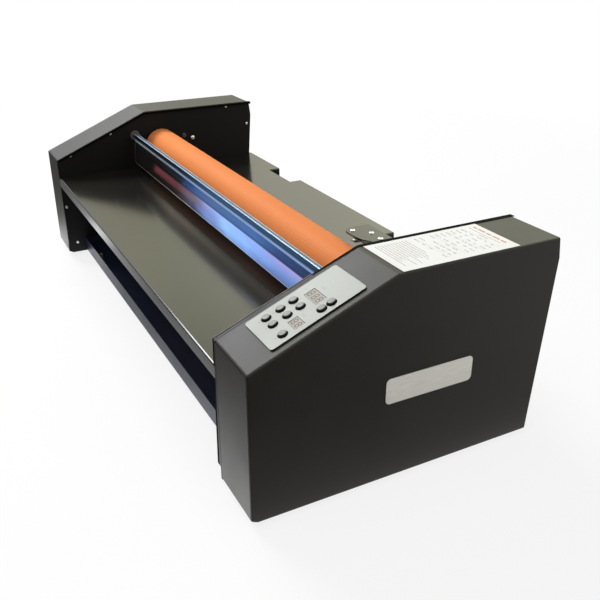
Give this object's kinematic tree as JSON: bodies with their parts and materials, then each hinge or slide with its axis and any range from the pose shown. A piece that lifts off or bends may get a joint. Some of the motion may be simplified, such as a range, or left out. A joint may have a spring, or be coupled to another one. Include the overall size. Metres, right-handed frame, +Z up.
{
  "type": "tabletop roll laminator",
  "caption": "Wide tabletop roll laminator: black side housings, feed tables, orange rollers under a swing-up clear guard, sloped keypad panel, geared drive and sprung upper roller.",
  "frame": {"origin": "floor point under the middle of the machine's box", "axes": "+X to the operator's right along the rollers, +Y to the back, +Z up"},
  "size_m": [1.0011, 0.4184, 0.2817],
  "materials": {
    "powder_black": "semi-matte powder coat",
    "plate_black": "matte black paint",
    "table_grey": "semi-gloss powder coat",
    "silicone_orange": "satin silicone rubber",
    "bare_aluminium": "turned aluminium",
    "plated_steel": "zinc plated",
    "gear_nylon": "cut nylon",
    "bearing_plastic": "moulded plastic",
    "guard_acrylic": "tinted clear acrylic",
    "rail_blue": "anodised extrusion",
    "panel_silver": "satin film on a plate",
    "button_grey": "satin moulded caps",
    "display_dark": "unlit display window",
    "board_green": "solder mask",
    "label_white": "printed film",
    "badge_silver": "satin bare plate",
    "rubber_black": "moulded rubber",
    "quartz_white": "frosted quartz"
  },
  "bodies": {
    "chassis": {"left_cover": "powder_black", "right_cover": "powder_black", "left_frame_plate": "plate_black", "right_frame_plate": "plate_black", "front_table": "table_grey", "rear_table": "table_grey", "base_tray": "powder_black", "foot_front_left": "rubber_black", "foot_front_right": "rubber_black", "foot_rear_left": "rubber_black", "foot_rear_right": "rubber_black", "sensor_bracket": "table_grey", "temperature_sensor": "bearing_plastic", "lower_bearing_left": "bearing_plastic", "lower_bearing_right": "bearing_plastic", "guard_bush_left": "bearing_plastic", "guard_bush_right": "bearing_plastic", "control_panel": "panel_silver", "temp_display": "display_dark", "speed_display": "display_dark", "control_board": "board_green", "gear_motor": "plated_steel", "motor_bracket": "plated_steel", "power_board": "board_green", "power_inlet": "bearing_plastic", "switch_frame": "bearing_plastic", "spring_bracket_left": "plated_steel", "spring_bracket_right": "plated_steel", "pressure_spring_left": "plated_steel", "pressure_spring_right": "plated_steel", "settings_label": "label_white", "side_badge": "badge_silver"},
    "carriage": {"upper_bearing_block_left": "bearing_plastic", "upper_bearing_block_right": "bearing_plastic", "heater_tube": "quartz_white"},
    "upper_roller": {"upper_roller_core": "bare_aluminium", "upper_roller_sleeve": "silicone_orange", "upper_gear": "gear_nylon"},
    "lower_roller": {"lower_roller_core": "bare_aluminium", "lower_roller_sleeve": "silicone_orange", "lower_gear": "gear_nylon"},
    "pinion": {"motor_pinion": "plated_steel"},
    "guard": {"guard_rail": "rail_blue", "guard_sheet": "guard_acrylic", "guard_pin_left": "plated_steel", "guard_pin_right": "plated_steel"},
    "power_rocker": {"power_switch": "bearing_plastic"},
    "button_temp_up_key": {"button_temp_up": "button_grey"},
    "button_temp_down_key": {"button_temp_down": "button_grey"},
    "button_reverse_key": {"button_reverse": "button_grey"},
    "button_heat_key": {"button_heat": "button_grey"},
    "button_cold_key": {"button_cold": "button_grey"},
    "button_run_key": {"button_run": "button_grey"},
    "button_stop_key": {"button_stop": "button_grey"},
    "button_speed_up_key": {"button_speed_up": "button_grey"},
    "button_speed_down_key": {"button_speed_down": "button_grey"}
  },
  "joints": [
    {"name": "upper_lift", "type": "slide", "parent": "chassis", "child": "carriage", "axis": [0, 0, 1], "range_m": [0, 0.004], "stiffness_N_per_m": 4000, "springref_m": -0.012, "deforming": ["pressure_spring_left", "pressure_spring_right"]},
    {"name": "lower_spin", "type": "hinge", "parent": "chassis", "child": "lower_roller", "pos_m": [0, 0.0037, 0.14835], "axis": [1, 0, 0], "continuous": true},
    {"name": "upper_spin", "type": "hinge", "parent": "carriage", "child": "upper_roller", "pos_m": [0, 0.0037, 0.21365], "axis": [1, 0, 0], "continuous": true},
    {"name": "pinion_spin", "type": "hinge", "parent": "chassis", "child": "pinion", "pos_m": [0.45, 0.04691, 0.11853], "axis": [1, 0, 0], "continuous": true},
    {"name": "guard_hinge", "type": "hinge", "parent": "chassis", "child": "guard", "pos_m": [0, -0.0487, 0.2366], "axis": [-1, 0, 0], "range_deg": [0, 100]},
    {"name": "button_temp_up_press", "type": "slide", "parent": "chassis", "child": "button_temp_up_key", "axis": [0, 0.3878, -0.9217], "range_m": [0, 0.0008], "stiffness_N_per_m": 300},
    {"name": "button_temp_down_press", "type": "slide", "parent": "chassis", "child": "button_temp_down_key", "axis": [0, 0.3878, -0.9217], "range_m": [0, 0.0008], "stiffness_N_per_m": 300},
    {"name": "button_reverse_press", "type": "slide", "parent": "chassis", "child": "button_reverse_key", "axis": [0, 0.3878, -0.9217], "range_m": [0, 0.0008], "stiffness_N_per_m": 300},
    {"name": "button_heat_press", "type": "slide", "parent": "chassis", "child": "button_heat_key", "axis": [0, 0.3878, -0.9217], "range_m": [0, 0.0008], "stiffness_N_per_m": 300},
    {"name": "button_cold_press", "type": "slide", "parent": "chassis", "child": "button_cold_key", "axis": [0, 0.3878, -0.9217], "range_m": [0, 0.0008], "stiffness_N_per_m": 300},
    {"name": "button_run_press", "type": "slide", "parent": "chassis", "child": "button_run_key", "axis": [0, 0.3878, -0.9217], "range_m": [0, 0.0008], "stiffness_N_per_m": 300},
    {"name": "button_stop_press", "type": "slide", "parent": "chassis", "child": "button_stop_key", "axis": [0, 0.3878, -0.9217], "range_m": [0, 0.0008], "stiffness_N_per_m": 300},
    {"name": "button_speed_up_press", "type": "slide", "parent": "chassis", "child": "button_speed_up_key", "axis": [0, 0.3878, -0.9217], "range_m": [0, 0.0008], "stiffness_N_per_m": 300},
    {"name": "button_speed_down_press", "type": "slide", "parent": "chassis", "child": "button_speed_down_key", "axis": [0, 0.3878, -0.9217], "range_m": [0, 0.0008], "stiffness_N_per_m": 300},
    {"name": "power_rocker_tilt", "type": "hinge", "parent": "chassis", "child": "power_rocker", "pos_m": [0.456, 0.20056, 0.09873], "axis": [-1, 0, 0], "range_deg": [0, 20]}
  ],
  "couplings": [
    {"joint": "upper_spin", "follows": "lower_spin", "ratio": -1},
    {"joint": "pinion_spin", "follows": "lower_spin", "ratio": -1.625}
  ]
}
